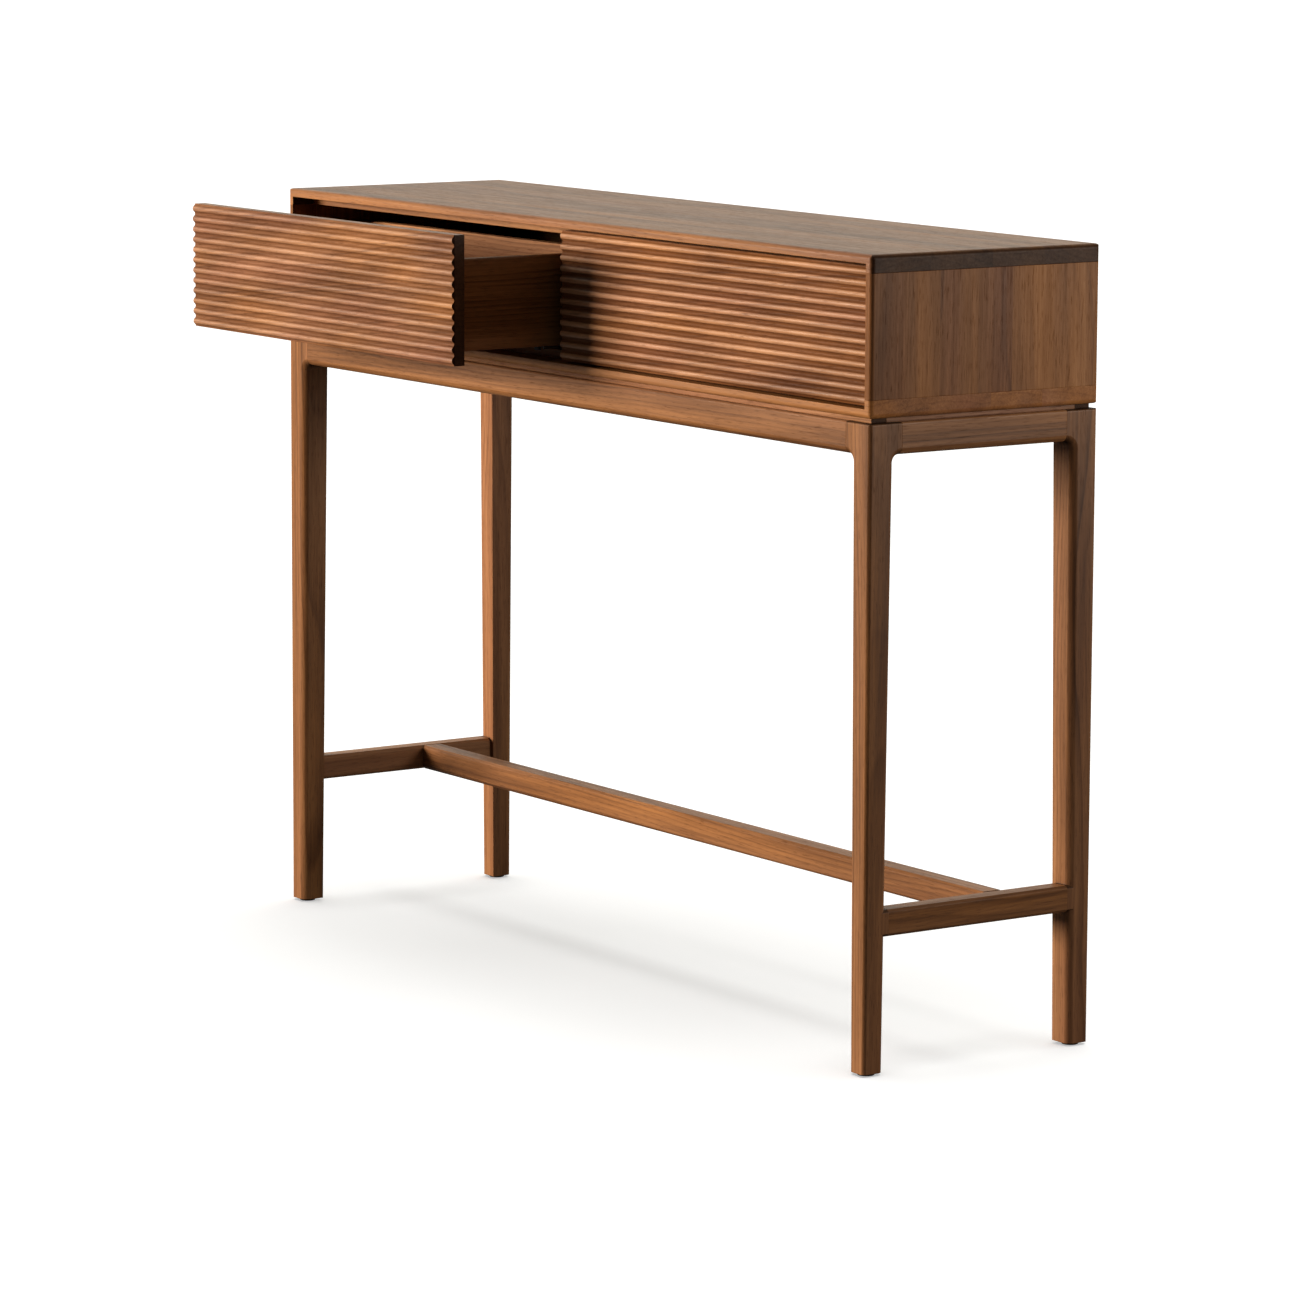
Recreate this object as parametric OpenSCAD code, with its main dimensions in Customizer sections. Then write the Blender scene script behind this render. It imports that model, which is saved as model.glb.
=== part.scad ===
// Console table: a case with two ribbed drawers on an open frame of four tapered legs.
// Millimetres, +Z up, the front faces -Y. The origin is on the floor, under the middle of the case.
// It is drawn with the right drawer shut and the left drawer part open.

/* [Overall] */
// Length of the table
table_w = 1200; // [1100:10:1400]
// Depth of the table, front to back
table_d = 310; // [300:5:350]
// Height of the table
table_h = 890; // [780:5:950]

/* [Case] */
// Height of the case that holds the drawers
case_h = 175; // [165:5:195]
// Thickness of the case boards
board_t = 20; // [20:1:24]
// Width of the thin rim that shows round the drawer fronts
rim_t = 10; // [8:1:12]
// Depth of the rebate behind that rim
rim_d = 30; // [24:1:34]
// Thickness of the back panel
back_t = 8; // [6:1:10]
// Radius on the outer edges of the case
case_r = 5; // [3:0.5:6]

/* [Drawers] */
// How far the left drawer stands open
left_open = 145; // [0:5:200]
// Thickness of a drawer front at the crest of its ribs
front_t = 17; // [16:0.5:20]
// Number of ribs on a drawer front
rib_count = 12; // [8:1:16]
// Height of the ribs above the hollows between them
rib_d = 3.2; // [2:0.2:4]
// Share of that height, and of the width, that bulges outwards
rib_share = 0.55; // [0.35:0.05:0.6]
// How far a shut front lies behind the rim
front_recess = 2; // [1:0.5:4]
// Gap between a front and the rim
front_gap = 3; // [2:0.5:4]
// Length of a drawer box behind its front
box_l = 240; // [220:5:240]
// Thickness of the drawer sides and back
box_t = 13; // [12:0.5:15]
// Thickness of the drawer bottom
bottom_t = 9; // [6:1:10]

/* [Base frame] */
// Height of the rails under the case
apron_h = 35; // [31:1:40]
// Thickness of those rails
apron_t = 24; // [20:1:26]
// Shadow gap between the case and the frame
shadow_h = 5; // [4:1:8]
// How far the spacer strips in the shadow gap lie back
shadow_d = 7; // [6:1:12]
// Width of a leg at the top
leg_top = 34; // [32:1:38]
// Width of a leg at the foot
leg_foot = 28; // [26:1:30]
// Radius of the curve between a leg and its arms
window_r = 9; // [7:1:14]
// Width of the bevel round the inside of each frame opening
bevel_w = 7; // [5:0.5:8]
// Width of the bevel on the outer corner of a leg
corner_bevel_w = 3.5; // [2:0.5:4]

/* [Stretchers] */
// Height of the stretchers' undersides above the floor
stretcher_z = 152.5; // [120:0.5:220]
// Height of a stretcher
stretcher_h = 29.5; // [26:0.5:34]
// Width of the side stretchers
side_stretcher_w = 25; // [22:1:26]
// Width of the long stretcher
long_stretcher_w = 28; // [22:1:32]
// How far behind the middle the long stretcher lies
long_stretcher_y = 37; // [-60:1:60]

/* [Hidden] */
$fn = 48;
WALNUT = [0.50, 0.33, 0.22];
WALNUT_DARK = [0.36, 0.23, 0.15];
WALNUT_LIGHT = [0.62, 0.43, 0.30];
STEEL = [0.55, 0.56, 0.58];
PALE_PLASTIC = [0.78, 0.77, 0.73];
DARK_PLASTIC = [0.12, 0.11, 0.10];
eps = 1;                                   // how far a cutter runs past the face it cuts

// case
case_z = table_h - case_h;                 // underside of the case
back_y = table_d / 2 - back_t - 1;         // inner face of the back panel
tongue_t = 8;                              // tongues that hold sides and divider in top and bottom
tongue_h = 6;
tongue_y0 = -table_d / 2 + rim_d + 15;
tongue_y1 = back_y - 15;
bay_w = (table_w - 3 * board_t) / 2;

// drawer fronts
mid_gap = front_gap;
end_gap = 2.5;
front_w = (table_w - 2 * rim_t - 2 * end_gap - mid_gap) / 2;
front_h = case_h - 2 * rim_t - 2 * front_gap;
front_z = case_z + rim_t + front_gap;
front_y = -table_d / 2 + front_recess;     // crest of the ribs when shut
rib_pitch = front_h / rib_count;
wave_r = (rib_pitch * rib_pitch / 4 + rib_d * rib_d) / (2 * rib_d);
hollow_r = (1 - rib_share) * wave_r;
rib_lap = 0.03;                            // the arcs of rib and hollow run into each other by this much
rib_r = rib_share * wave_r + rib_lap;

// drawer boxes, drawn for the right bay and shut
side_gap = 7;                              // clear space beside a drawer box
box_x0 = board_t / 2 + side_gap;
box_x1 = board_t / 2 + bay_w - side_gap;
box_y0 = front_y + front_t;
box_y1 = box_y0 + box_l;
box_z0 = front_z + 15;
box_z1 = front_z + front_h - 29;
panel_z = box_z0 + 13;                     // underside of the drawer bottom
groove_d = 5;                              // depth of the grooves that hold the bottom
housing_d = 6;                             // how deep the sides are let into the front

// runners: a fixed rail on the case, a middle rail, and a drawer rail
rail_w = 22;
rail_t = 1.2;                              // sheet thickness
rail_lip = 3;
rail_inset = 12;                           // rail centre to the drawer side's inner face
rail_x = [box_x0 + box_t + rail_inset, box_x1 - box_t - rail_inset];
fixed_rail_y = [-79, 141];
fixed_rail_h = 10;
middle_rail_y = [-80, 120];
middle_rail_w = 18;
drawer_rail_y = [-116, 104];
drawer_rail_h = 9.5;
case_floor = case_z + board_t;

// base frame; a leg is drawn with its outer corner on the Z axis, and its arms along +X and +Y
glide_t = 3;
base_z = case_z - shadow_h;                // top of the frame
window_z = base_z - apron_h;               // underside of the rails
arm_l = leg_top + window_r;                // reach of a leg's arms, from its outer corner
curve_z = window_z - window_r;             // where the curve under an arm meets the straight leg
leg_run = curve_z - glide_t;
leg_taper = atan((leg_top - leg_foot) / leg_run);
crown_r = 1.5 * bevel_w;                   // the bevels round the openings are a little crowned
stub_l = ceil(leg_w(stretcher_z + stretcher_h)) + 2;  // where the stretcher starts, from the leg's outer face
stretcher_bevel = 3;
tenon_t = 8;
tenon_l = 18;
top_edge_r = 2.5;

// fasteners
case_screw_at = 54;                        // from the frame's outer faces
block_l = 84;                              // reach of a corner block along a rail
block_z = window_z + 6;
block_h = 22;

function leg_w(z) = leg_foot + (leg_top - leg_foot) * (z - glide_t) / leg_run;
function arc_centre(b, r) = (b + sqrt(2 * r * r - b * b)) / 2;

// ---- helpers ----

// a flat shape drawn in X and Z, made solid from y = 0 to y = l
module along_y(l) translate([0, l, 0]) rotate([90, 0, 0]) linear_extrude(l) children();

// a flat shape drawn in Y and Z, made solid from x = 0 to x = l
module along_x(l) rotate([90, 0, 90]) linear_extrude(l) children();

module rounded_rect(w, h, r) {
    translate([r, 0]) square([w - 2 * r, h]);
    translate([0, r]) square([w, h - 2 * r]);
    for (x = [r, w - r], y = [r, h - r]) translate([x, y]) circle(r);
}

// what a bevel b wide takes off an edge at the origin: its face is an arc of radius r, a little crowned
module bevel_section(b, r) {
    c = arc_centre(b, r);
    difference() {
        translate([-eps, -eps]) square(b + eps);
        translate([c, c]) circle(r, $fn = 96);
    }
}

module round_section(r) difference() {
    translate([-eps, -eps]) square(r + eps);
    translate([r, r]) circle(r);
}

// swaps X and Y, so that a leg's front is drawn once and used for its side too
module swapped() rotate(90) mirror([0, 1, 0]) children();

// moves what is drawn from an outer corner, with X and Y pointing inwards, to one of the four corners:
// x is 0 for left and 1 for right, y is 0 for front and 1 for rear
module at_corner(x, y) mirror([x, 0, 0]) mirror([0, y, 0])
    translate([-table_w / 2, -table_d / 2, 0]) children();

// mirrors what is drawn for the right bay into the left one, and pulls it out
module left_bay(open) translate([0, -open, 0]) mirror([1, 0, 0]) children();

// screw with its head's top at z = 0 and its point at z = l
slot_w = 0.8;

module screw(l, r, head_r, head_h) difference() {
    union() {
        cylinder(r = head_r, h = head_h);
        cylinder(r = r, h = l - 2 * r);
        translate([0, 0, l - 2 * r]) cylinder(r1 = r, r2 = 0.3, h = 2 * r);
    }
    for (a = [0, 90]) rotate(a) translate([-head_r * 0.6, -slot_w / 2, -eps])
        cube([head_r * 1.2, slot_w, eps + head_h / 2]);
}

// ---- case ----

// the whole case as one block with its edges rounded; each board is cut from it
module case_block() intersection() {
    translate([-table_w / 2, -table_d / 2, case_z]) linear_extrude(case_h)
        rounded_rect(table_w, table_d, case_r);
    translate([-table_w / 2, -table_d / 2, case_z]) along_y(table_d) rounded_rect(table_w, case_h, case_r);
    translate([-table_w / 2, -table_d / 2, case_z]) along_x(table_w) rounded_rect(table_d, case_h, case_r);
}

// the hollow that the rim and the back rebate leave, as a front and a rear slab
module rebates() {
    inner_w = table_w - 2 * rim_t;
    inner_h = case_h - 2 * rim_t;
    translate([-inner_w / 2, -table_d / 2 - eps, case_z + rim_t]) cube([inner_w, rim_d + eps, inner_h]);
    translate([-inner_w / 2, back_y, case_z + rim_t]) cube([inner_w, back_t + 1 + eps, inner_h]);
}

module tongues() {
    for (x = [-table_w / 2 + board_t / 2, 0, table_w / 2 - board_t / 2])
        translate([x - tongue_t / 2, tongue_y0, case_z + board_t - tongue_h])
            cube([tongue_t, tongue_y1 - tongue_y0, case_h - 2 * board_t + 2 * tongue_h]);
}

module case_top() color(WALNUT) difference() {
    intersection() {
        case_block();
        translate([-table_w / 2, -table_d / 2, table_h - board_t]) cube([table_w, table_d, board_t]);
    }
    rebates();
    tongues();
    back_screw_places() cylinder(r = back_screw_r, h = back_screw_l);
}

module case_bottom() color(WALNUT) difference() {
    intersection() {
        case_block();
        translate([-table_w / 2, -table_d / 2, case_z]) cube([table_w, table_d, board_t]);
    }
    rebates();
    tongues();
    back_screw_places() cylinder(r = back_screw_r, h = back_screw_l);
    case_screw_places() cylinder(r = case_screw_r, h = case_screw_l);
    fixed_rail_screw_places() cylinder(r = rail_screw_r, h = rail_screw_l + 0.5);
}

// the right side; the left one is its mirror image
module case_side() color(WALNUT_DARK) {
    difference() {
        intersection() {
            case_block();
            translate([table_w / 2 - board_t, -table_d / 2, case_z + board_t])
                cube([board_t, table_d, case_h - 2 * board_t]);
        }
        rebates();
    }
    intersection() {
        tongues();
        translate([table_w / 2 - board_t, -table_d / 2, case_z]) cube([board_t, table_d, case_h]);
    }
}

module case_divider() color(WALNUT_DARK) {
    translate([-board_t / 2, -table_d / 2 + rim_d, case_z + board_t])
        cube([board_t, back_y + table_d / 2 - rim_d, case_h - 2 * board_t]);
    intersection() {
        tongues();
        translate([-board_t / 2, -table_d / 2, case_z]) cube([board_t, table_d, case_h]);
    }
}

module case_back() color(WALNUT_DARK) difference() {
    translate([-table_w / 2 + rim_t, back_y, case_z + rim_t])
        cube([table_w - 2 * rim_t, back_t, case_h - 2 * rim_t]);
    back_screw_places() {
        cylinder(r = back_screw_r, h = back_screw_l);
        translate([0, 0, -eps]) cylinder(r = back_screw_head_r, h = back_screw_head_h + eps);
    }
}

// strips in the shadow gap, set back from all four faces
module spacer(l) color(WALNUT_DARK) translate([-l / 2, 0, base_z]) cube([l, board_t, shadow_h]);

// ---- base frame ----

// one face of a leg, with the straight inner edge that tapers to the foot
module leg_outline() polygon([[0, glide_t], [leg_foot, glide_t], [leg_top, curve_z],
    [leg_top, base_z], [0, base_z]]);

// an arm towards the next rail, with the curve under it
module leg_arm() along_y(apron_t) difference() {
    translate([leg_top / 2, curve_z]) square([arm_l - leg_top / 2, base_z - curve_z]);
    translate([arm_l, curve_z]) circle(window_r, $fn = 96);
}

// the bevel round the curve and down the leg; round the curve it is a hair wider, so that the two
// cuts overlap cleanly where they meet
module window_bevel() {
    translate([arm_l, 0, curve_z]) rotate([-90, 0, 0]) rotate(180)
        rotate_extrude(angle = 90, $fn = 96) translate([window_r, 0])
            bevel_section(bevel_w + 0.2, crown_r);
    translate([leg_top, 0, curve_z]) rotate([0, leg_taper, 0]) translate([0, 0, -curve_z])
        linear_extrude(curve_z + eps) mirror([1, 0]) bevel_section(bevel_w, crown_r);
}

module stretcher_section(w) {
    b = stretcher_bevel;
    h = stretcher_h;
    polygon([[b, 0], [w - b, 0], [w, b], [w, h - b], [w - b, h], [b, h], [0, h - b], [0, b]]);
}

// the short stub on a leg that the side stretcher is jointed to
module stretcher_stub() translate([0, leg_foot - 5, stretcher_z]) along_y(stub_l - leg_foot + 5)
    stretcher_section(side_stretcher_w);

module stretcher_tenon() {
    translate([side_stretcher_w / 2 - tenon_t / 2, stub_l - tenon_l, stretcher_z + 6])
        cube([tenon_t, tenon_l, stretcher_h - 12]);
}

module apron_tenon() {
    translate([arm_l - tenon_l, apron_t / 2 - tenon_t / 2, window_z + 9])
        cube([tenon_l, tenon_t, apron_h - 15]);
}

// what rounds the frame's top outer edge, from x = x0 on
module top_edge_round(x0, l) translate([x0, 0, base_z]) mirror([0, 0, 1]) along_x(l)
    round_section(top_edge_r);

// a leg with its two arms, bevelled round both openings
module leg_blank() difference() {
    union() {
        intersection() {
            along_y(arm_l) leg_outline();
            swapped() along_y(arm_l) leg_outline();
        }
        leg_arm();
        swapped() leg_arm();
    }
    window_bevel();
    swapped() window_bevel();
}

module leg() color(WALNUT_LIGHT) difference() {
    union() {
        leg_blank();
        stretcher_stub();
    }
    translate([0, 0, glide_t - eps]) linear_extrude(base_z)
        bevel_section(corner_bevel_w, 2 * corner_bevel_w);
    top_edge_round(-eps, arm_l + 2 * eps);
    swapped() top_edge_round(-eps, arm_l + 2 * eps);
    apron_tenon();
    swapped() apron_tenon();
    stretcher_tenon();
    translate([leg_foot / 2, leg_foot / 2, glide_t - eps])
        cylinder(r = glide_stem_r, h = glide_stem_l + eps);
}

glide_r = 9.5;
glide_stem_r = 2.5;
glide_stem_l = 12;

module glide() color(DARK_PLASTIC) translate([leg_foot / 2, leg_foot / 2, 0]) {
    cylinder(r1 = glide_r - 0.6, r2 = glide_r, h = 0.6);
    translate([0, 0, 0.6]) cylinder(r = glide_r, h = glide_t - 0.6);
    cylinder(r = glide_stem_r, h = glide_t + glide_stem_l);
}

// a rail between two leg arms, l long overall, with its outer face at y = 0
module apron(l) color(WALNUT_LIGHT) {
    body_l = l - 2 * arm_l;
    difference() {
        translate([arm_l, 0, window_z]) cube([body_l, apron_t, apron_h]);
        translate([arm_l - eps, 0, window_z]) along_x(body_l + 2 * eps)
            bevel_section(bevel_w, crown_r);
        top_edge_round(arm_l - eps, body_l + 2 * eps);
    }
    apron_tenon();
    translate([l, 0, 0]) mirror([1, 0, 0]) apron_tenon();
}

module side_stretcher() color(WALNUT) difference() {
    union() {
        translate([0, stub_l, stretcher_z]) along_y(table_d - 2 * stub_l)
            stretcher_section(side_stretcher_w);
        stretcher_tenon();
        translate([0, table_d, 0]) mirror([0, 1, 0]) stretcher_tenon();
    }
    long_tenon();
}

long_tenon_l = 14;

// the long stretcher's left tenon, with the left side stretcher's outer face at x = 0
module long_tenon() translate([side_stretcher_w - long_tenon_l,
    table_d / 2 + long_stretcher_y - tenon_t / 2, stretcher_z + 6])
        cube([long_tenon_l, tenon_t, stretcher_h - 12]);

module stretcher_long() color(WALNUT_LIGHT) {
    l = table_w - 2 * side_stretcher_w;
    translate([-l / 2, long_stretcher_y - long_stretcher_w / 2, stretcher_z])
        along_x(l) stretcher_section(long_stretcher_w);
    for (x = [0, 1]) at_corner(x, 0) long_tenon();
}

// a block glued into each corner of the frame; a screw goes up through it into the case
module corner_block() color(WALNUT_LIGHT) difference() {
    translate([0, 0, block_z]) linear_extrude(block_h)
        polygon([[leg_top, apron_t], [block_l, apron_t], [apron_t, block_l], [apron_t, leg_top],
            [leg_top, leg_top]]);
    case_screw_here() {
        cylinder(r = case_screw_r + screw_gap, h = case_screw_l);
        translate([0, 0, -eps]) cylinder(r = case_screw_head_r + screw_gap, h = case_screw_sink + eps);
    }
}

// ---- fasteners ----

case_screw_r = 2.25;
case_screw_l = 44;
case_screw_head_r = 4.5;
case_screw_head_h = 2.5;
case_screw_sink = 4;
screw_gap = 0.3;                           // clearance round a case screw in its block
back_screw_r = 1.5;
back_screw_l = 18;
back_screw_head_r = 3.2;
back_screw_head_h = 1.6;
back_screw_count = 5;
rail_screw_r = 1.5;
rail_screw_l = 9;
rail_screw_head_r = 3;
rail_screw_head_h = 1;

module case_screw_here() translate([case_screw_at, case_screw_at, block_z]) children();

module case_screw_places() for (x = [0, 1], y = [0, 1]) at_corner(x, y) case_screw_here() children();

module case_screws() color(STEEL) {
    z = case_screw_sink - case_screw_head_h;
    case_screw_places() translate([0, 0, z])
        screw(case_screw_l - z, case_screw_r, case_screw_head_r, case_screw_head_h);
}

// from the rear face of the back panel into top and bottom, two rows
module back_screw_places() {
    span = table_w - 200;
    step = span / (back_screw_count - 1);
    inset = (rim_t + board_t) / 2;
    for (i = [0 : back_screw_count - 1], z = [case_z + inset, table_h - inset])
        translate([-span / 2 + i * step, back_y + back_t, z]) rotate([90, 0, 0]) children();
}

module back_screws() color(STEEL) back_screw_places()
    screw(back_screw_l, back_screw_r, back_screw_head_r, back_screw_head_h);

// ---- runners ----

// U with lips, open at the top, standing on y = 0 and centred on x = 0
module rail_section(h) {
    translate([-rail_w / 2, 0]) square([rail_w, rail_t]);
    for (s = [0, 1]) mirror([s, 0]) {
        translate([rail_w / 2 - rail_t, 0]) square([rail_t, h]);
        translate([rail_w / 2 - rail_t - rail_lip, h - rail_t]) square([rail_t + rail_lip, rail_t]);
    }
}

module rail(x, ys, z) translate([x, ys[0], z]) along_y(ys[1] - ys[0]) children();

module fixed_rail(i) color(STEEL) difference() {
    rail(rail_x[i], fixed_rail_y, case_floor) rail_section(fixed_rail_h);
    for (y = [-55, 30, 115]) translate([rail_x[i], y, case_floor - eps]) cylinder(r = rail_screw_r, h = 3);
}

// up to the screw's seat on the rail's floor, its point downwards
module fixed_rail_screw_places() for (s = [0, 1], i = [0, 1], y = [-55, 30, 115])
    mirror([s, 0, 0]) translate([rail_x[i], y, case_floor + rail_t + rail_screw_head_h])
        rotate([180, 0, 0]) children();

module fixed_rail_screws() color(STEEL) fixed_rail_screw_places()
    screw(rail_screw_l, rail_screw_r, rail_screw_head_r, rail_screw_head_h);

// two channels back to back: one runs in the fixed rail, the other carries the drawer rail
module middle_rail(i) color(STEEL) {
    low = case_floor + 2.8;
    rail(rail_x[i], middle_rail_y, low) {
        for (up = [0, 1]) translate([0, up * middle_span]) mirror([0, up]) {
            translate([-middle_rail_w / 2, channel_h - rail_t]) square([middle_rail_w, rail_t]);
            for (s = [0, 1]) mirror([s, 0]) translate([middle_rail_w / 2 - rail_t, 0])
                square([rail_t, channel_h]);
        }
        translate([-rail_t, channel_h - rail_t])
            square([2 * rail_t, middle_span - 2 * channel_h + 2 * rail_t]);
    }
}

channel_h = 5.2;
middle_span = 16.7;
bumper_w = 8;
bumper_l = 5;
bumper_h = 9.5;

// end stop on the front of each middle rail
module rail_bumpers() color(DARK_PLASTIC) for (i = [0, 1])
    translate([rail_x[i] - bumper_w / 2, middle_rail_y[0] - bumper_l, case_floor + 1.5])
        linear_extrude(bumper_h) rounded_rect(bumper_w, bumper_l, 1.5);

module drawer_rail(i) color(STEEL) difference() {
    rail(rail_x[i], drawer_rail_y, panel_z) mirror([0, 1]) rail_section(drawer_rail_h);
    drawer_screw_places() cylinder(r = rail_screw_r, h = rail_screw_l);
}

module drawer_screw_places() for (i = [0, 1], y = [-80, -10, 60])
    translate([rail_x[i], y, panel_z - rail_t - rail_screw_head_h]) children();

module drawer_screws() color(STEEL) drawer_screw_places()
    screw(rail_screw_l, rail_screw_r, rail_screw_head_r, rail_screw_head_h);

// locking clips under the drawer, between the front and the ends of its rails
module drawer_clips() color(PALE_PLASTIC) for (i = [0, 1]) {
    y0 = box_y0 + 2;
    translate([rail_x[i] - 11, y0, panel_z - 9]) along_x(22)
        polygon([[0, 0], [10, 0], [drawer_rail_y[0] - y0, 4], [drawer_rail_y[0] - y0, 9], [0, 9]]);
}

// ---- drawers, drawn shut in the right bay ----

// a wave of ribs and hollows along the front of a board whose back is flat; x is the depth, y the height
module front_section() intersection() {
    translate([-eps, 0]) square([front_t + eps, front_h]);
    union() {
        difference() {
            translate([rib_share * rib_d, 0]) square([front_t - rib_share * rib_d, front_h]);
            for (i = [0 : rib_count]) translate([rib_d - hollow_r, i * rib_pitch])
                circle(hollow_r, $fn = 64);
        }
        for (i = [0 : rib_count - 1]) translate([rib_r, (i + 0.5) * rib_pitch]) circle(rib_r, $fn = 64);
    }
}

module drawer_front() color(WALNUT_LIGHT) difference() {
    translate([mid_gap / 2, front_y, front_z]) along_x(front_w) front_section();
    for (x = [box_x0, box_x1 - box_t]) translate([x, box_y0 - housing_d, box_z0])
        cube([box_t, housing_d + eps, box_z1 - box_z0]);
    drawer_panel();
}

module drawer_side(x) color(WALNUT_DARK) difference() {
    translate([x, box_y0 - housing_d, box_z0]) along_y(box_l + housing_d)
        polygon([[0, 0], [box_t, 0], [box_t, box_z1 - box_z0 - 1.5], [box_t - 1.5, box_z1 - box_z0],
            [1.5, box_z1 - box_z0], [0, box_z1 - box_z0 - 1.5]]);
    drawer_panel();
    drawer_back_board();
}

module drawer_back_board() translate([box_x0 + box_t - groove_d, box_y1 - box_t - 6, panel_z + bottom_t])
    cube([box_x1 - box_x0 - 2 * box_t + 2 * groove_d, box_t, box_z1 - panel_z - bottom_t]);

module drawer_back() color(WALNUT_DARK) drawer_back_board();

module drawer_panel() translate([box_x0 + box_t - groove_d, box_y0 - groove_d, panel_z])
    cube([box_x1 - box_x0 - 2 * box_t + 2 * groove_d, box_l + groove_d, bottom_t]);

module drawer_bottom() color(WALNUT) difference() {
    drawer_panel();
    drawer_screw_places() cylinder(r = rail_screw_r, h = rail_screw_l);
}

// ---- the nodes ----

case_top();
case_bottom();
mirror([1, 0, 0]) case_side();  // case_side_left
case_side();  // case_side_right
case_divider();
case_back();
translate([0, -table_d / 2 + shadow_d, 0]) spacer(table_w - 2 * shadow_d);  // spacer_front
translate([0, table_d / 2 - shadow_d - board_t, 0]) spacer(table_w - 2 * shadow_d);  // spacer_rear
translate([-table_w / 2 + shadow_d, 0, 0]) rotate(-90) spacer(table_d - 2 * shadow_d - 2 * board_t);  // spacer_left
translate([table_w / 2 - shadow_d, 0, 0]) rotate(90) spacer(table_d - 2 * shadow_d - 2 * board_t);  // spacer_right
at_corner(0, 0) apron(table_w);  // apron_front
at_corner(0, 1) apron(table_w);  // apron_rear
at_corner(0, 0) swapped() apron(table_d);  // apron_left
at_corner(1, 0) swapped() apron(table_d);  // apron_right
at_corner(0, 0) leg();  // leg_front_left
at_corner(1, 0) leg();  // leg_front_right
at_corner(0, 1) leg();  // leg_rear_left
at_corner(1, 1) leg();  // leg_rear_right
at_corner(0, 0) side_stretcher();  // stretcher_left
at_corner(1, 0) side_stretcher();  // stretcher_right
stretcher_long();
at_corner(0, 0) glide();  // glide_front_left
at_corner(1, 0) glide();  // glide_front_right
at_corner(0, 1) glide();  // glide_rear_left
at_corner(1, 1) glide();  // glide_rear_right
at_corner(0, 0) corner_block();  // block_front_left
at_corner(1, 0) corner_block();  // block_front_right
at_corner(0, 1) corner_block();  // block_rear_left
at_corner(1, 1) corner_block();  // block_rear_right
case_screws();
back_screws();
fixed_rail_screws();
left_bay(0) fixed_rail(1);  // left_fixed_rail_outer
left_bay(0) fixed_rail(0);  // left_fixed_rail_inner
fixed_rail(0);  // right_fixed_rail_inner
fixed_rail(1);  // right_fixed_rail_outer
left_bay(left_open / 2) middle_rail(1);  // left_middle_rail_outer
left_bay(left_open / 2) middle_rail(0);  // left_middle_rail_inner
left_bay(left_open / 2) rail_bumpers();  // left_rail_bumpers
middle_rail(0);  // right_middle_rail_inner
middle_rail(1);  // right_middle_rail_outer
rail_bumpers();  // right_rail_bumpers
left_bay(left_open) drawer_front();  // left_drawer_front
left_bay(left_open) drawer_side(box_x1 - box_t);  // left_drawer_side_outer
left_bay(left_open) drawer_side(box_x0);  // left_drawer_side_inner
left_bay(left_open) drawer_back();  // left_drawer_back
left_bay(left_open) drawer_bottom();  // left_drawer_bottom
left_bay(left_open) drawer_rail(1);  // left_drawer_rail_outer
left_bay(left_open) drawer_rail(0);  // left_drawer_rail_inner
left_bay(left_open) drawer_clips();  // left_drawer_clips
left_bay(left_open) drawer_screws();  // left_drawer_screws
drawer_front();  // right_drawer_front
drawer_side(box_x1 - box_t);  // right_drawer_side_outer
drawer_side(box_x0);  // right_drawer_side_inner
drawer_back();  // right_drawer_back
drawer_bottom();  // right_drawer_bottom
drawer_rail(1);  // right_drawer_rail_outer
drawer_rail(0);  // right_drawer_rail_inner
drawer_clips();  // right_drawer_clips
drawer_screws();  // right_drawer_screws
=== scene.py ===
"""The looks of the console table: oiled walnut, zinc-plated runners, plastic parts, and a pale studio."""

import math
import random

import bpy
from mathutils import Matrix, Vector


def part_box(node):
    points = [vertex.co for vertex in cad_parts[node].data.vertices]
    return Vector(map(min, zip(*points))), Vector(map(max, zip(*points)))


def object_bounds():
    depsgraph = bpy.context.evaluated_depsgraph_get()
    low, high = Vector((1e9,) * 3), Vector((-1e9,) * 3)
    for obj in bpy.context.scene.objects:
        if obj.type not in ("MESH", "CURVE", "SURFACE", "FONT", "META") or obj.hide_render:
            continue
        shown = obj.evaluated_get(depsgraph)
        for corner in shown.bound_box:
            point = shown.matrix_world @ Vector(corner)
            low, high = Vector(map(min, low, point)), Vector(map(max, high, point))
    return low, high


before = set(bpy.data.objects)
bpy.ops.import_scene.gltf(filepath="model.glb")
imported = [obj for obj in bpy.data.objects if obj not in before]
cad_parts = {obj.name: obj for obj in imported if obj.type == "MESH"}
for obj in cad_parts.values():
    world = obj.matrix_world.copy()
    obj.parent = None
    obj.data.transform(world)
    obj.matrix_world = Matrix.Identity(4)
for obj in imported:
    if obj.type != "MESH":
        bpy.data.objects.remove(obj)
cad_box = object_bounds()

MM = 0.001

# ---- camera, as the table was photographed: from its right, a little above ----

CAMERA_AT = (5.37273, -3.71432, 1.36712)
CAMERA_YAW = 55.522  # degrees from looking along +Y towards looking along -X
CAMERA_PITCH = 8.6035  # degrees below level
CAMERA_ROLL = -0.2571
CAMERA_LENS = 156.08  # mm
SENSOR_WIDTH = 36  # mm
CAMERA_REACH = (0.1, 200)  # the nearest and farthest it sees


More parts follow.
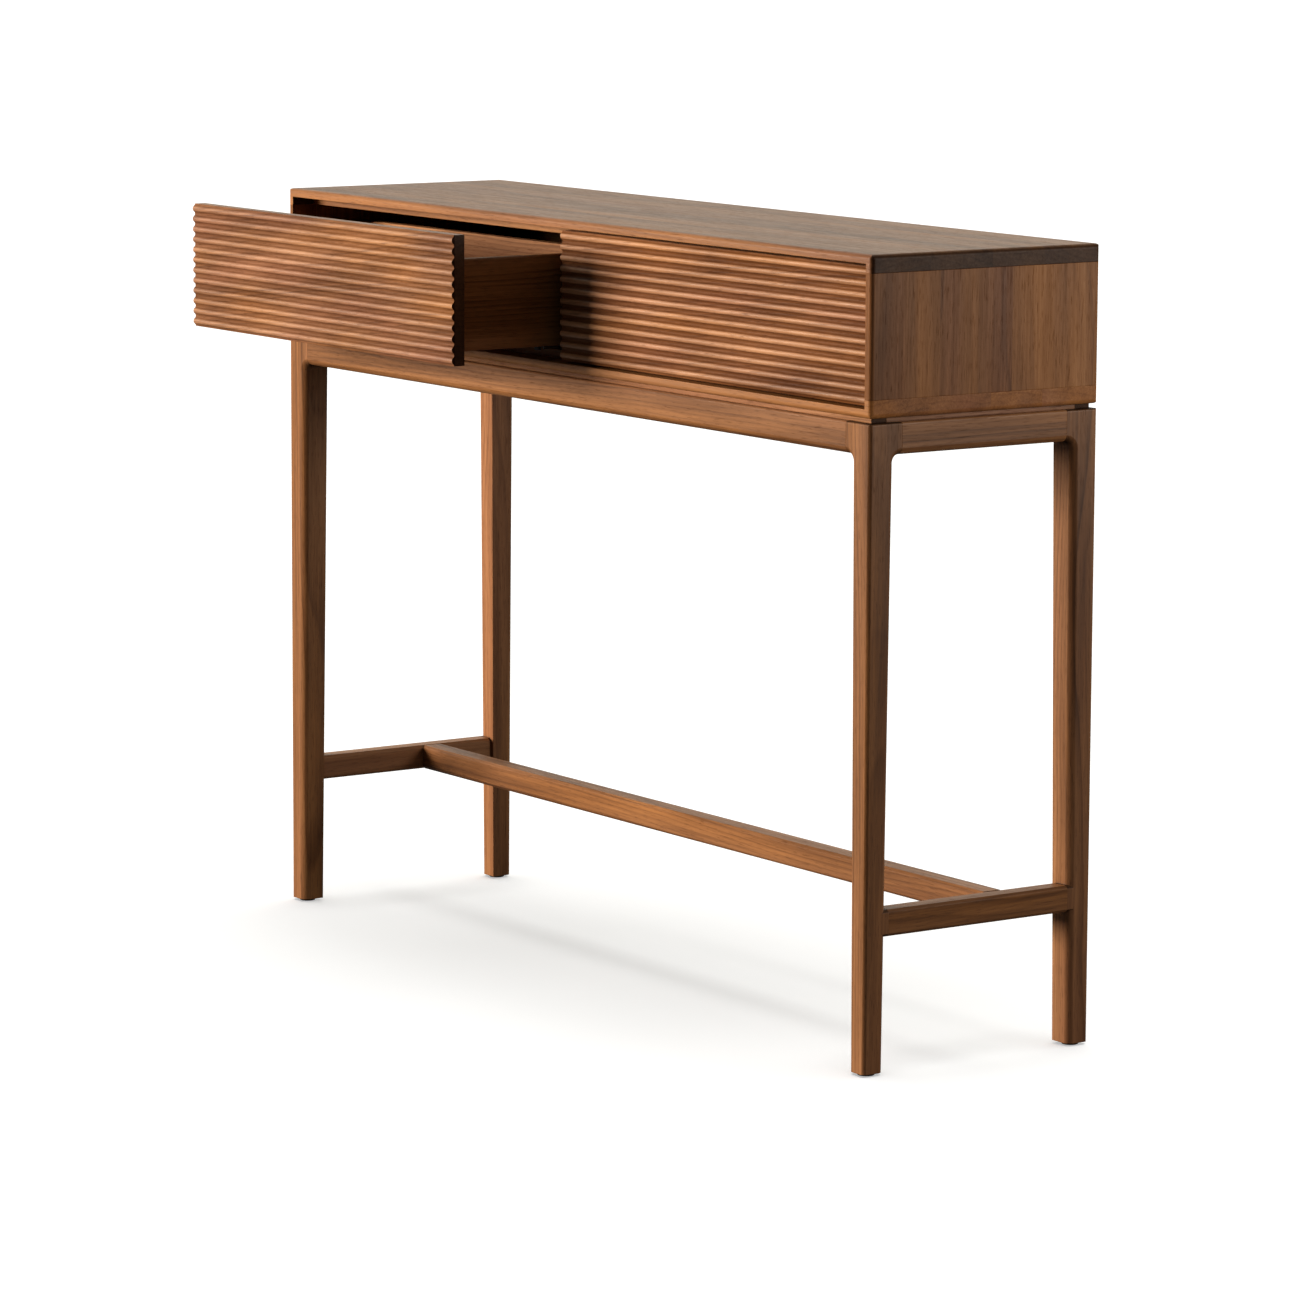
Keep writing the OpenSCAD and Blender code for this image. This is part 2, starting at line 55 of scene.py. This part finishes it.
def make_camera():
    yaw, pitch, roll = (math.radians(a) for a in (CAMERA_YAW, CAMERA_PITCH, CAMERA_ROLL))
    forward = Vector((-math.sin(yaw) * math.cos(pitch), math.cos(yaw) * math.cos(pitch), -math.sin(pitch)))
    level_right = Vector((math.cos(yaw), math.sin(yaw), 0))
    level_down = forward.cross(level_right)
    right = math.cos(roll) * level_right + math.sin(roll) * level_down
    up = -(math.cos(roll) * level_down - math.sin(roll) * level_right)
    data = bpy.data.cameras.new("camera")
    data.sensor_width = SENSOR_WIDTH
    data.lens = CAMERA_LENS
    data.clip_start, data.clip_end = CAMERA_REACH
    camera = bpy.data.objects.new("camera", data)
    bpy.context.collection.objects.link(camera)
    turn = Matrix((right, up, -forward)).transposed().to_4x4()
    camera.matrix_world = Matrix.Translation(CAMERA_AT) @ turn
    bpy.context.scene.camera = camera


# ---- node graphs ----

# the sockets of a Mix node that mixes colours; its other kinds have sockets of the same names
MIX_FACTOR, MIX_A, MIX_B, MIX_RESULT = 0, 6, 7, 2
NOISE_LOW, NOISE_HIGH = 0.3, 0.7  # nearly all of a noise's values lie between these


def grey(value):
    return (value, value, value)


class Graph:
    """A node tree, built by short calls. An input is a socket, a number or a tuple."""

    def __init__(self, tree):
        self.tree = tree
        tree.nodes.clear()

    def plug(self, socket, value):
        if isinstance(value, bpy.types.NodeSocket):
            self.tree.links.new(value, socket)
        else:
            socket.default_value = value

    def add(self, kind, inputs=None, out=0, **settings):
        """Adds a node and gives its output, by number or name, or for None the node itself."""
        node = self.tree.nodes.new("ShaderNode" + kind)
        for name, value in settings.items():
            setattr(node, name, value)
        for name, value in (inputs or {}).items():
            self.plug(node.inputs[name], value)
        return node if out is None else node.outputs[out]

    def math(self, operation, a, b=0.0, clamp=False):
        return self.add("Math", {0: a, 1: b}, operation=operation, use_clamp=clamp)

    def times(self, a, b):
        return self.math("MULTIPLY", a, b)

    def total(self, first, *others):
        for other in others:
            first = self.math("ADD", first, other)
        return first

    def vector(self, operation, a, b=(0, 0, 0), out="Vector"):
        return self.add("VectorMath", {0: a, 1: b}, out, operation=operation)

    def dot(self, a, b):
        return self.vector("DOT_PRODUCT", a, b, "Value")

    def split(self, vector):
        return tuple(self.add("SeparateXYZ", {0: vector}, None).outputs)

    def object_place(self):
        return self.add("TexCoord", out="Object")

    def noise(self, place, repeats, detail=2.0, roughness=0.5):
        """Noise that repeats about so many times to a metre along each axis."""
        scaled = self.vector("MULTIPLY", place, repeats)
        inputs = {"Vector": scaled, "Scale": 1.0, "Detail": detail, "Roughness": roughness}
        return self.add("TexNoise", inputs)

    def remap(self, value, low, high, to_low=0.0, to_high=1.0, smooth=False):
        inputs = {0: value, 1: low, 2: high, 3: to_low, 4: to_high}
        return self.add("MapRange", inputs, interpolation_type="SMOOTHSTEP" if smooth else "LINEAR")

    def swing(self, noise, to_low, to_high):
        """A noise made to run from one value to another."""
        return self.remap(noise, NOISE_LOW, NOISE_HIGH, to_low, to_high)

    def ramp(self, value, stops, blend="LINEAR"):
        node = self.add("ValToRGB", {0: value}, None)
        node.color_ramp.interpolation = blend
        elements = node.color_ramp.elements
        while len(elements) < len(stops):
            elements.new(0.5)
        for element, (at, colour) in zip(elements, stops):
            element.position = at
            element.color = (*colour, 1)
        return node.outputs["Color"]

    def grey_ramp(self, value, stops, blend="LINEAR"):
        return self.ramp(value, [(at, grey(tone)) for at, tone in stops], blend)

    def mix(self, factor, a, b, blend="MIX"):
        node = self.add("Mix", {}, None, data_type="RGBA", blend_type=blend)
        for socket, value in ((MIX_FACTOR, factor), (MIX_A, a), (MIX_B, b)):
            self.plug(node.inputs[socket], (*value, 1) if isinstance(value, tuple) else value)
        return node.outputs[MIX_RESULT]

    def tinted(self, colour, tint, factor=1.0):
        return self.mix(factor, colour, tint, "MULTIPLY")

    def rounded(self, radius, samples):
        """Which way the surface faces, with its edges rounded."""
        return self.add("Bevel", {"Radius": radius}, samples=samples)

    def bump(self, height, strength, distance, normal):
        inputs = {"Strength": strength, "Distance": distance, "Height": height, "Normal": normal}
        return self.add("Bump", inputs)

    def finish(self, shader_inputs):
        shader = self.add("BsdfPrincipled", shader_inputs)
        self.add("OutputMaterial", {0: shader}, None)


def new_material(name):
    material = bpy.data.materials.new(name)
    material.use_nodes = True
    return material, Graph(material.node_tree)


# ---- walnut ----

# linear colours from sapwood-side tan to late-wood chocolate
WALNUT_STOPS = (
    (0.00, (0.430, 0.205, 0.090)),
    (0.28, (0.300, 0.132, 0.053)),
    (0.52, (0.195, 0.082, 0.032)),
    (0.76, (0.115, 0.046, 0.018)),
    (1.00, (0.050, 0.019, 0.008)),
)
# end grain, darkened by its oil and further by painted shade
END_GRAIN_AND_SHADE_TINT = (0.18, 0.17, 0.17)
# painted highlight for rib crests, and painted shade for their hollows
PAINTED_CREST_HIGHLIGHT = (1.06, 1.16, 1.46)
PAINTED_HOLLOW_SHADE = (0.46, 0.40, 0.38)
VIOLET_TINT = (0.84, 0.76, 0.86)
GOLD_TINT = (1.16, 1.10, 0.86)
PORE_TINT = (0.36, 0.30, 0.28)
# painted shade for inner corners
PAINTED_CORNER_SHADE = (0.42, 0.34, 0.30)
# paler edges: partly worn, partly a painted highlight
WORN_EDGE_AND_HIGHLIGHT_TINT = (1.4, 1.4, 1.4)
AXES = {"x": (1, 0, 0), "y": (0, 1, 0), "z": (0, 0, 1)}

# about how often each pattern repeats to a metre, along the grain and twice across it
SLOW_BENDS = (1.6, 8, 8)
QUICK_BENDS = (7, 60, 60)
FIBRES = (9, 330, 330)
PORES = (60, 1300, 1300)
RUB_MARKS = (30, 90, 90)
STREAKS = (1.1, 24)  # along and across; a board may have its own
HUE_SHARE = (1.2, 0.7)  # the patches of hue, as a share of the streaks

# growth rings: how far the two bends push them, and how dark each is from its early wood to its late
SLOW_PUSH = 45 * MM
QUICK_PUSH = 1.6 * MM
RING_PITCH = 6 * MM
RING_STOPS = ((0.0, 0.12), (0.25, 0.0), (0.62, 0.32), (0.90, 1.0), (1.0, 0.15))
FAINTEST_RING = 0.25  # as a share of the strongest

# what each pattern adds to the darkness, which runs from 0 for the palest wood to 1 for the darkest
BASE_DARKNESS = 0.04
RING_DARKNESS = 0.30
STREAK_DARKNESS = 0.58
FIBRE_DARKNESS = (-0.07, 0.15)
STAVE_DARKNESS = (-0.14, 0.26)

# from which noise value to which a tint comes in, and from how little of it to how much
VIOLET_PATCHES = (0.50, 0.72, 0.0, 0.8)
GOLD_PATCHES = (0.50, 0.30, 0.0, 0.9)
PORE_EDGE = (0.58, 0.70)
PORE_STRENGTH = 0.5
PORE_ROUGHNESS = 0.2

# each board of a glued panel takes its pattern from elsewhere: along the grain in steps of the first, and
# through the board by up to the second, in an order shuffled by the third
STAVE_ALONG, STAVE_THROUGH, STAVE_SHUFFLE = 9.7, 0.05, 7.3

BOARD_LEAN = 1.2  # degrees, at most, that any board's grain leans
BOARD_SHIFT = 4  # metres, at most, that its pattern is moved

# how much of a face's direction lies along the grain, where the end grain's darkening, oil and painted shade,
# starts to show and where it is full
END_START, END_FULL = 0.25, 0.85
END_SHEEN = 0.3  # as a share of the long grain's

# depths below a rib's crest: where the painted highlight ends, where the hollow's painted shade is full, and
# where the ribs end
CREST_DEPTH, HOLLOW_DEPTH = 0.15 * MM, 1.8 * MM
RIBS_END, BOARD_START = 3.6 * MM, 4.2 * MM
CREST_SHEEN, HOLLOW_SHEEN = 0.5, 0.08

# painted shade in inner corners, from how open to the air they are, and paler edges, partly worn and partly a
# painted highlight, from how flat the surface is
CORNER_REACH = 7 * MM
CORNER_OPEN, CORNER_SHUT = 0.95, 0.45
CORNER_STRENGTH = 0.75
EDGE_RADIUS = 1.3 * MM
EDGE_FLAT, EDGE_SHARP = 0.995, 0.90
MOST_EDGE_PALING = 0.45

# how high each pattern stands in the surface, as a share of the bump's distance
FIBRE_HEIGHT, PORE_HEIGHT, RING_HEIGHT = 0.35, 0.5, 0.12


def toned(colour, brightness, warmth):
    """The colour made brighter, and redder for warmth over 0 or greyer under 0."""
    mean = sum(colour) / 3
    shift = (1 + 0.5 * warmth, 1.0, 1 - warmth)
    return tuple(min(1.0, brightness * c * s if warmth >= 0 else brightness * (c + (mean - c) * -warmth))
                 for c, s in zip(colour, shift))


def stave_tones(g, place, staves):
    """A step for each board of a glued panel: how dark it is, and a number that tells it from the others."""
    axis, start, boards = staves
    total = sum(width for width, _ in boards)
    edges = [sum(width for width, _ in boards[:i]) / total for i in range(len(boards))]
    at = g.math("DIVIDE", g.math("SUBTRACT", place["xyz".index(axis)], start), total * MM)
    tone = g.grey_ramp(at, [(edge, tone) for edge, (_, tone) in zip(edges, boards)], "CONSTANT")
    index = g.grey_ramp(at, [(edge, (i + 0.5) / len(boards)) for i, edge in enumerate(edges)], "CONSTANT")
    return tone, index


def growth_rings(g, board, moved, pith):
    """How dark the rings round the pith are. Slow and quick noise bend them along the board."""
    _, v, w = g.split(board)
    v = g.total(v, pith[0])
    w = g.total(w, pith[1])
    radius = g.math("SQRT", g.total(g.times(v, v), g.times(w, w)))
    radius = g.total(radius, g.times(g.noise(moved, SLOW_BENDS), SLOW_PUSH),
                     g.times(g.noise(moved, QUICK_BENDS), QUICK_PUSH))
    phase = g.math("DIVIDE", radius, RING_PITCH)
    ring = g.grey_ramp(g.math("FRACT", phase), RING_STOPS)
    strength = g.add("TexWhiteNoise", {"W": g.math("FLOOR", phase)}, noise_dimensions="1D")
    return g.times(ring, g.remap(strength, 0, 1, FAINTEST_RING, 1.0))


def heartwood_hues(g, colour, moved, streaks):
    """Patches that lean to violet and to gold, as in heartwood."""
    along, across = (share * streak for share, streak in zip(HUE_SHARE, streaks))
    hue = g.noise(g.vector("ADD", moved, (3, 1, 2)), (along, across, across), detail=1)
    colour = g.tinted(colour, VIOLET_TINT, g.remap(hue, *VIOLET_PATCHES))
    return g.tinted(colour, GOLD_TINT, g.remap(hue, *GOLD_PATCHES))


def ribbed(g, colour, depth, wear):
    """A painted highlight on the crests and painted shade in the hollows, and the sheen of both."""
    hollow = g.remap(depth, CREST_DEPTH, HOLLOW_DEPTH, smooth=True)
    hollow = g.times(hollow, g.remap(depth, RIBS_END, BOARD_START, 1.0, 0.0))
    colour = g.mix(g.times(hollow, wear), g.tinted(colour, PAINTED_CREST_HIGHLIGHT), g.tinted(colour, PAINTED_HOLLOW_SHADE))
    return colour, g.remap(hollow, 0.0, 1.0, CREST_SHEEN, HOLLOW_SHEEN)


def shaded_corners_paled_edges(g, colour, moved, round_normal):
    """Painted shade darkens the inner corners, and edges are made a little paler: partly worn, partly a
    painted highlight.
    """
    # painted shade where a corner is shut in
    open_air = g.add("AmbientOcclusion", {"Distance": CORNER_REACH}, "AO", samples=8, only_local=True)
    colour = g.tinted(colour, PAINTED_CORNER_SHADE, g.remap(open_air, CORNER_OPEN, CORNER_SHUT, 0.0, CORNER_STRENGTH))
    flatness = g.dot(round_normal, g.add("NewGeometry", out="Normal"))
    marks = g.swing(g.noise(moved, RUB_MARKS), 0.0, MOST_EDGE_PALING)
    # paler edges, partly worn and partly a painted highlight
    edge_paling = g.times(g.remap(flatness, EDGE_FLAT, EDGE_SHARP), marks)
    return g.mix(edge_paling, colour, g.tinted(colour, WORN_EDGE_AND_HIGHLIGHT_TINT))


def walnut(name, grain, seed, brightness=1.0, warmth=0.0, pith=(0.05, 0.11), staves=None, gloss=0.42,
           contrast=1.0, end_tint=END_GRAIN_AND_SHADE_TINT, streaks=STREAKS, sheen=0.22, crest=None, wear=1.0, slant=0):
    """Walnut as a solid texture: growth rings round a pith that lies off the board, fibres and pores along
    the grain. The same pattern gives streaks on a long face, arches on a flat-sawn one and dots on end
    grain. grain is the axis it runs along, pith is where the rings' centre lies across it, and staves is
    (axis, start, boards) for a panel glued from boards of (width in mm, tone). streaks is how many there are
    to a metre, along the grain and across it. crest is the depth at which a ribbed face's crests lie; they
    get a painted highlight and the hollows painted shade, and wear is how far the hollows go
    to that shade. slant is the angle in degrees at which the grain runs out of the board."""
    material, g = new_material(name)
    pick = random.Random(seed)
    x, y, z = g.split(g.object_place())
    along, across, through = {"x": (x, y, z), "y": (y, x, z), "z": (z, x, y)}[grain]
    if staves:
        stave_tone, stave = stave_tones(g, (x, y, z), staves)
        along = g.total(along, g.times(stave, STAVE_ALONG))
        through = g.total(through, g.times(g.math("FRACT", g.times(stave, STAVE_SHUFFLE)), STAVE_THROUGH))
    board = g.add("CombineXYZ", {0: along, 1: across, 2: through})
    tilt = tuple(math.radians(lean + pick.uniform(-BOARD_LEAN, BOARD_LEAN)) for lean in (0, slant, 0))
    shift = tuple(pick.uniform(-BOARD_SHIFT, BOARD_SHIFT) for _ in range(3))
    board = g.add("Mapping", {"Vector": board, "Rotation": tilt})
    moved = g.vector("ADD", board, shift)

    ring = growth_rings(g, board, moved, pith)
    streak = g.noise(moved, (streaks[0], streaks[1], streaks[1]), detail=3, roughness=0.55)
    fibre = g.noise(moved, FIBRES, detail=3, roughness=0.6)
    pore = g.remap(g.noise(moved, PORES, detail=1), *PORE_EDGE, smooth=True)

    dark = g.total(g.times(ring, RING_DARKNESS * contrast), g.swing(streak, 0.0, STREAK_DARKNESS * contrast),
                   g.swing(fibre, *FIBRE_DARKNESS))
    if staves:
        dark = g.total(dark, g.remap(stave_tone, 0, 1, *STAVE_DARKNESS))
    stops = [(at, toned(colour, brightness, warmth)) for at, colour in WALNUT_STOPS]
    colour = g.ramp(g.math("ADD", dark, BASE_DARKNESS, clamp=True), stops)
    colour = heartwood_hues(g, colour, moved, streaks)
    colour = g.tinted(colour, PORE_TINT, g.times(pore, PORE_STRENGTH))

    # end grain drinks more oil; the tint is darker still, as painted shade on end faces and rounded end edges
    facing = g.math("ABSOLUTE", g.dot(g.add("TexCoord", out="Normal"), AXES[grain]))
    end = g.remap(facing, END_START, END_FULL)
    colour = g.tinted(colour, end_tint, end)
    if crest is not None:
        colour, sheen = ribbed(g, colour, g.math("SUBTRACT", y, crest), wear)
    round_normal = g.rounded(EDGE_RADIUS, samples=6)
    colour = shaded_corners_paled_edges(g, colour, moved, round_normal)

    rough = g.total(g.swing(fibre, gloss - 0.04, gloss + 0.08), g.times(pore, PORE_ROUGHNESS))
    height = g.math("SUBTRACT", g.times(fibre, FIBRE_HEIGHT), g.times(pore, PORE_HEIGHT))
    height = g.math("SUBTRACT", height, g.times(ring, RING_HEIGHT))
    g.finish({"Base Color": colour, "Roughness": rough,
              "Normal": g.bump(height, strength=0.22, distance=0.35 * MM, normal=round_normal),
              "Specular IOR Level": g.times(g.remap(end, 0.0, 1.0, 1.0, END_SHEEN), sheen)})
    return material


# ---- metal and plastic ----

ZINC_DARK, ZINC_PALE = (0.30, 0.31, 0.33), (0.56, 0.57, 0.58)
DRAWN_ALONG, DRAWN_ACROSS = 25, 1600  # how often the drawing lines repeat to a metre
LINE_SHARE, CLOUD_SHARE = 0.35, 0.65
PALE_PLASTIC = ((0.60, 0.58, 0.52), (0.72, 0.70, 0.64))
BLACK_PLASTIC = ((0.016, 0.015, 0.014), (0.030, 0.028, 0.026))


def plated_steel(name, seed, grain="y", brightness=1.0):
    """Zinc-plated steel, drawn along one axis, with dull cloudy patches."""
    material, g = new_material(name)
    place = g.vector("ADD", g.object_place(), (seed * 1.7, seed * 0.9, seed * 2.3))
    drawn = tuple(DRAWN_ALONG if axis == grain else DRAWN_ACROSS for axis in "xyz")
    lines = g.noise(place, drawn, roughness=0.6)
    clouds = g.noise(place, grey(60), detail=3, roughness=0.6)
    tint = g.total(g.times(lines, LINE_SHARE), g.times(clouds, CLOUD_SHARE))
    dark, pale = (tuple(brightness * c for c in colour) for colour in (ZINC_DARK, ZINC_PALE))
    round_normal = g.rounded(0.4 * MM, samples=4)
    g.finish({"Base Color": g.ramp(tint, ((NOISE_LOW, dark), (NOISE_HIGH, pale))), "Metallic": 1.0,
              "Roughness": g.swing(tint, 0.42, 0.26),
              "Normal": g.bump(lines, strength=0.15, distance=0.05 * MM, normal=round_normal)})
    return material


def moulded(name, seed, colours, rough=0.45):
    """Moulded plastic with a fine spark-eroded surface, mottled between two colours."""
    material, g = new_material(name)
    place = g.vector("ADD", g.object_place(), (seed, seed * 2, seed * 3))
    mottle = g.noise(place, grey(90), detail=3, roughness=0.6)
    fine = g.noise(place, grey(2600), roughness=0.6)
    round_normal = g.rounded(0.5 * MM, samples=4)
    g.finish({"Base Color": g.ramp(mottle, tuple(zip((0.35, 0.65), colours))),
              "Roughness": g.swing(fine, rough - 0.06, rough + 0.1),
              "Normal": g.bump(fine, strength=0.25, distance=0.06 * MM, normal=round_normal)})
    return material


# ---- which piece gets which material ----

# the boards that a panel is glued from, front to back: width in mm, and tone from light 0 to dark 1
END_BOARDS = ((43, 0.74), (49, 0.42), (52, 0.46), (46, 0.56), (55, 0.40), (65, 0.26))
TOP_BOARDS = ((78, 0.45), (84, 0.56), (70, 0.40), (78, 0.50))

UPRIGHT = ("case_side_left", "case_side_right", "case_divider")
FRONT_TO_BACK = ("apron_left", "apron_right", "spacer_left", "spacer_right", "stretcher_left",
                 "stretcher_right")


def grain_of(node):
    """The axis a board's grain runs along."""
    if node.startswith("leg_") or node in UPRIGHT:
        return "z"
    return "y" if node in FRONT_TO_BACK or "drawer_side" in node else "x"


def wood_of(node, seed):
    """A wood material for this board alone, so that no two boards match."""
    pick = random.Random(seed * 31 + 7)
    look = dict(brightness=pick.uniform(0.94, 1.06), warmth=pick.uniform(-0.03, 0.07),
                pith=(pick.uniform(-0.12, 0.12), pick.uniform(0.06, 0.16)))
    front_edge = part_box("case_top")[0].y
    if node in ("case_side_left", "case_side_right"):
        # the end boards are a little darker and redder: partly their own tone, partly painted shade on the
        # table's end
        look.update(staves=("y", front_edge, END_BOARDS), contrast=0.7, brightness=0.84, warmth=0.12,
                    sheen=0.12)
    elif node in ("case_top", "case_bottom"):
        look.update(staves=("y", front_edge, TOP_BOARDS), gloss=0.38, contrast=0.6, sheen=0.3)
        if node == "case_bottom":
            look.update(end_tint=(1.0, 0.95, 0.92))
    elif node.endswith("drawer_front"):
        standing_open = node.startswith("left")
        # every ribbed front gets a painted crest highlight and painted hollow shade; the open drawer's
        # hollows get less of that shade, as more light reaches them out of the case
        look.update(brightness=1.08 if standing_open else 1.22, wear=0.7 if standing_open else 1.0,
                    contrast=0.75, streaks=(4, 24), slant=5, crest=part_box(node)[0].y)
    elif node.endswith("drawer_back"):
        # drawer backs painted much paler, standing in for the light that falls into the open drawer
        look.update(brightness=1.6, warmth=-0.1)
    elif "drawer_side" in node:
        # drawer sides painted darker, standing in for the deep shade beside the open drawer
        look.update(brightness=0.7, sheen=0.1)
    elif node == "leg_front_right":
        # this leg is painted a little darker, standing in for the shade on it
        look.update(brightness=0.88)
    elif node.startswith("block"):
        look.update(brightness=1.35, warmth=-0.1, gloss=0.62)
    elif node == "case_back":
        look.update(brightness=0.85, gloss=0.5)
    return walnut("walnut_" + node, grain_of(node), seed, **look)


def material_for(node, seed):
    if "screws" in node:
        return plated_steel("steel_" + node, seed, grain="z", brightness=0.9)
    if "rail" in node and "bumpers" not in node:
        return plated_steel("steel_" + node, seed)
    if "clips" in node:
        return moulded("plastic_" + node, seed, PALE_PLASTIC)
    if "bumpers" in node or node.startswith("glide"):
        return moulded("plastic_" + node, seed, BLACK_PLASTIC, rough=0.6)
    return wood_of(node, seed)


SHARP_ANGLE = 30  # degrees between two faces, over which their edge isn't smoothed
WHOLE_ANGLE = 0.3  # degrees, under which they join into one face
EASED_ANGLE = 35  # degrees, over which their edge is eased
EASED_WOOD, EASED_SMALL_PART = 0.5 * MM, 0.15 * MM


def dress(node, piece, seed):
    """Gives a CAD node its material, smooth shading on its curves and slightly eased edges."""
    mesh = piece.data
    mesh.materials.clear()
    mesh.materials.append(material_for(node, seed))
    mesh.shade_smooth()
    mesh.set_sharp_from_angle(angle=math.radians(SHARP_ANGLE))
    flat = piece.modifiers.new("flat_faces_whole", "DECIMATE")
    flat.decimate_type = "DISSOLVE"
    flat.angle_limit = math.radians(WHOLE_ANGLE)
    small = "screws" in node or "rail" in node or "clips" in node
    eased = piece.modifiers.new("eased_edges", "BEVEL")
    eased.width = EASED_SMALL_PART if small else EASED_WOOD
    eased.segments = 2
    eased.limit_method = "ANGLE"
    eased.angle_limit = math.radians(EASED_ANGLE)
    eased.harden_normals = True


# ---- studio ----

WARM, PALE = (1.0, 0.90, 0.77), (1.0, 0.95, 0.87)
KEY_AT = (-4.3, -6.2, 1.85)
KEY_SIZE = (3.4, 2.0)
KEY_ENERGY = 720
GLEAM_ENERGY = 400  # a weaker twin of the key: of the two, only this one shows in reflections
GLEAM_PLACE = 0.98  # as a share of the way out to the key
FILL_AT = (1.9, 1.1, 1.0)
FILL_SIZE = (0.8, 0.6)
FILL_ENERGY = 6
FILL_HEIGHT = 0.7  # the height on the table's right end that it is aimed at
FILL_SPREAD = 110  # degrees
SKY_HEIGHT = 4
SKY_ANGLE = 60  # degrees across
SKY_ENERGY = 2.6  # it lights only the floor

FLOOR_RADIUS = 60
FLOOR_SIDES = 96
FLOOR_GLOW = 0.45  # what the floor shows the camera without any light
FLOOR_TONES = (0.70, 0.72)  # the darkest and palest that the camera sees
FLOOR_BOUNCE = 0.10  # its tone to bounced light

WALL_COLOUR = (1.0, 0.97, 0.85)
TO_WALL = (-0.80, 0.60, 0.0)  # past the table, as the camera looks
TO_SIDE = (0.75, 0.66, 0.0)  # towards the camera's right
WALL_GLOW = (0.01, 0.96)  # away from the wall, and at its middle
SIDE_GLOW = 0.13
CEILING_GLOW = 0.16


def aim(thing, at, target):
    thing.location = at
    thing.rotation_mode = "QUATERNION"
    thing.rotation_quaternion = (Vector(target) - Vector(at)).to_track_quat("-Z", "Y")


def add_light(kind, name, at, target, energy, colour=(1, 1, 1)):
    data = bpy.data.lights.new(name, kind)
    data.energy = energy
    data.color = colour
    light = bpy.data.objects.new(name, data)
    bpy.context.collection.objects.link(light)
    aim(light, at, target)
    return light


def soft_light(name, at, target, size, energy, colour):
    light = add_light("AREA", name, at, target, energy, colour)
    light.data.shape = "RECTANGLE"
    light.data.size, light.data.size_y = size
    return light


def make_world():
    """White where the camera looks past the floor. To light and reflections it is a dim studio: a pale wall
    beyond the table, a faint glow to the camera's right and overhead, and almost nothing behind it."""
    world = bpy.data.worlds.new("studio")
    bpy.context.scene.world = world
    world.use_nodes = True
    g = Graph(world.node_tree)
    direction = g.vector("NORMALIZE", g.add("TexCoord", out="Generated"))
    _, _, upwards = g.split(direction)
    shade = g.total(g.remap(g.dot(direction, TO_WALL), 0.0, 0.95, *WALL_GLOW, smooth=True),
                    g.remap(g.dot(direction, TO_SIDE), 0.2, 0.95, 0.0, SIDE_GLOW, smooth=True),
                    g.remap(upwards, 0.3, 1.0, 0.0, CEILING_GLOW, smooth=True))
    seen = g.add("LightPath", out="Is Camera Ray")
    strength = g.total(seen, g.times(g.math("SUBTRACT", 1.0, seen), shade))
    background = g.add("Background", {"Color": g.mix(seen, WALL_COLOUR, grey(1.0)), "Strength": strength})
    g.add("OutputWorld", {0: background}, None)


def make_floor():
    """A wide pale disc. The camera sees it nearly white; to bounced light it is dark."""
    turns = [2 * math.pi * i / FLOOR_SIDES for i in range(FLOOR_SIDES)]
    rim = [(FLOOR_RADIUS * math.cos(turn), FLOOR_RADIUS * math.sin(turn), 0.0) for turn in turns]
    mesh = bpy.data.meshes.new("floor")
    mesh.from_pydata(rim, [], [tuple(range(FLOOR_SIDES))])
    floor = bpy.data.objects.new("floor", mesh)
    bpy.context.collection.objects.link(floor)
    material, g = new_material("floor")
    seen = g.add("LightPath", out="Is Camera Ray")
    cloud = g.noise(g.object_place(), grey(3))
    white = g.grey_ramp(cloud, tuple(zip((NOISE_LOW, NOISE_HIGH), FLOOR_TONES)))
    diffuse = g.add("BsdfDiffuse", {"Color": g.mix(seen, grey(FLOOR_BOUNCE), white)})
    glow = g.add("Emission", {"Color": (1, 1, 1, 1), "Strength": g.times(seen, FLOOR_GLOW)})
    g.add("OutputMaterial", {0: g.add("AddShader", {0: diffuse, 1: glow})}, None)
    mesh.materials.append(material)
    return floor


def only(light, thing, state):
    """Lights nothing but the thing for INCLUDE, or all but the thing for EXCLUDE."""
    group = bpy.data.collections.new(light.name + "_" + state.lower())
    group.objects.link(thing)
    group.collection_objects[0].light_linking.link_state = state
    light.light_linking.receiver_collection = group


def make_studio():
    bpy.context.scene.view_settings.view_transform = "Standard"
    low, high = cad_box
    middle = (low + high) / 2
    make_world()
    floor = make_floor()
    key = soft_light("key", KEY_AT, middle, KEY_SIZE, KEY_ENERGY, WARM)
    key.visible_glossy = False
    gleam = soft_light("gleam", Vector(KEY_AT) * GLEAM_PLACE, middle, KEY_SIZE, GLEAM_ENERGY, WARM)
    fill = soft_light("fill", FILL_AT, (high.x, 0, FILL_HEIGHT), FILL_SIZE, FILL_ENERGY, PALE)
    fill.data.spread = math.radians(FILL_SPREAD)
    sky = add_light("SUN", "sky", (0, 0, SKY_HEIGHT), (0, 0, 0), SKY_ENERGY)
    sky.data.angle = math.radians(SKY_ANGLE)
    for light in (key, gleam, fill):
        only(light, floor, "EXCLUDE")
    only(sky, floor, "INCLUDE")


make_camera()
make_studio()
for seed, (node, piece) in enumerate(sorted(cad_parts.items())):
    dress(node, piece, seed)
